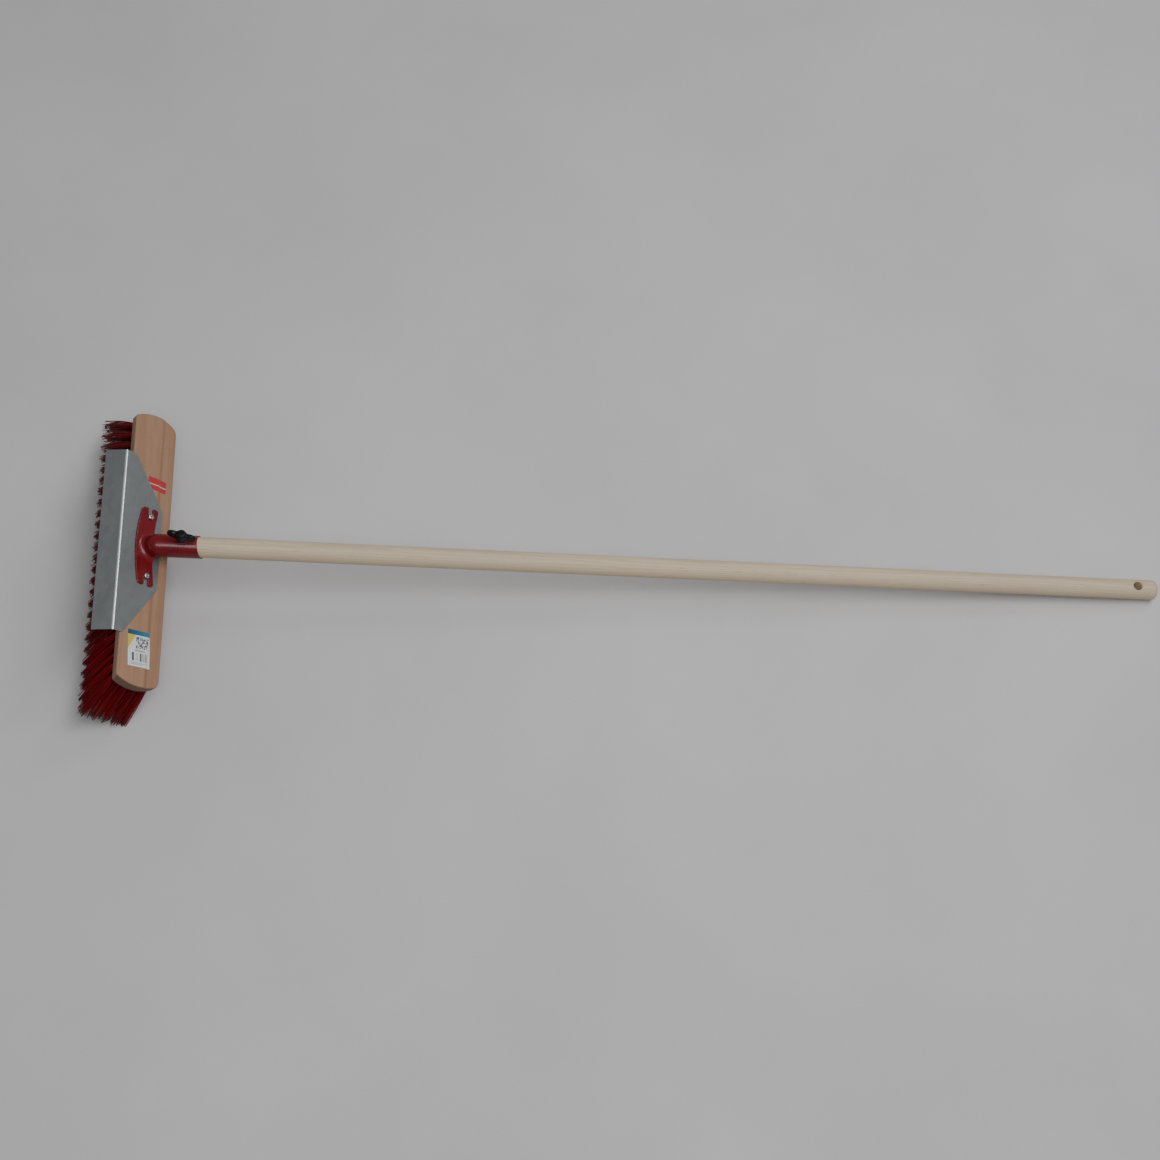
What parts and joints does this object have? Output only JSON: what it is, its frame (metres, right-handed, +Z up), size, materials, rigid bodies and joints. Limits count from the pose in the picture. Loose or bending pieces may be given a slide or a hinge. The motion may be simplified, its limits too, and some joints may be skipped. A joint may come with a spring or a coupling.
{
  "type": "push broom",
  "caption": "Long-handled push broom with a wooden block, stiff red bristles, a bent steel scraper and a pressed steel handle holder with a wing screw.",
  "frame": {"origin": "on the ground, under the middle of the whole broom's bounding box as it lies", "axes": "+X along the broom from the bristles to the handle's hanging end, +Y along the block, +Z up"},
  "size_m": [1.505, 0.4342, 0.1404],
  "materials": {
    "beech_wood": "satin, lightly sealed beech",
    "pine_wood": "matt, sanded pale softwood",
    "galvanised_steel": "dull galvanised sheet",
    "zinc_plated_steel": "bright zinc plated",
    "anchor_wire": "plain wire",
    "red_paint": "glossy red enamel",
    "black_plastic": "semi-gloss moulded plastic",
    "red_bristle": "stiff drawn synthetic filament",
    "white_paper": "smooth label paper",
    "red_paper": "glossy label paper"
  },
  "bodies": {
    "head": {"broom_block": "beech_wood", "scraper_plate": "galvanised_steel", "handle_holder": "red_paint", "clamp_nut": "zinc_plated_steel", "holder_screws": "zinc_plated_steel", "price_label": "white_paper", "red_sticker": "red_paper", "tuft_row_1": "red_bristle", "tuft_row_2": "red_bristle", "tuft_row_3": "red_bristle", "tuft_row_4": "red_bristle", "tuft_row_5": "red_bristle", "tuft_anchors_1": "anchor_wire", "tuft_anchors_2": "anchor_wire", "tuft_anchors_3": "anchor_wire", "tuft_anchors_4": "anchor_wire", "tuft_anchors_5": "anchor_wire"},
    "handle": {"handle": "pine_wood"},
    "clamp_stud": {"clamp_stud": "zinc_plated_steel"},
    "wing_head": {"wing_head": "black_plastic"}
  },
  "joints": [
    {"name": "handle_slide", "type": "slide", "parent": "head", "child": "handle", "axis": [0.9981, 0, -0.0614], "range_m": [0, 0.06]},
    {"name": "stud_advance", "type": "slide", "parent": "head", "child": "clamp_stud", "axis": [0.0614, 0, 0.9981], "range_m": [0, 0.0031]},
    {"name": "wing_turn", "type": "hinge", "parent": "clamp_stud", "child": "wing_head", "pos_m": [-0.61987, 0, 0.12069], "axis": [0.0614, 0, 0.9981], "range_deg": [0, 1080]}
  ],
  "couplings": [
    {"joint": "stud_advance", "follows": "wing_turn", "m_per_rad": 0.00015915}
  ]
}
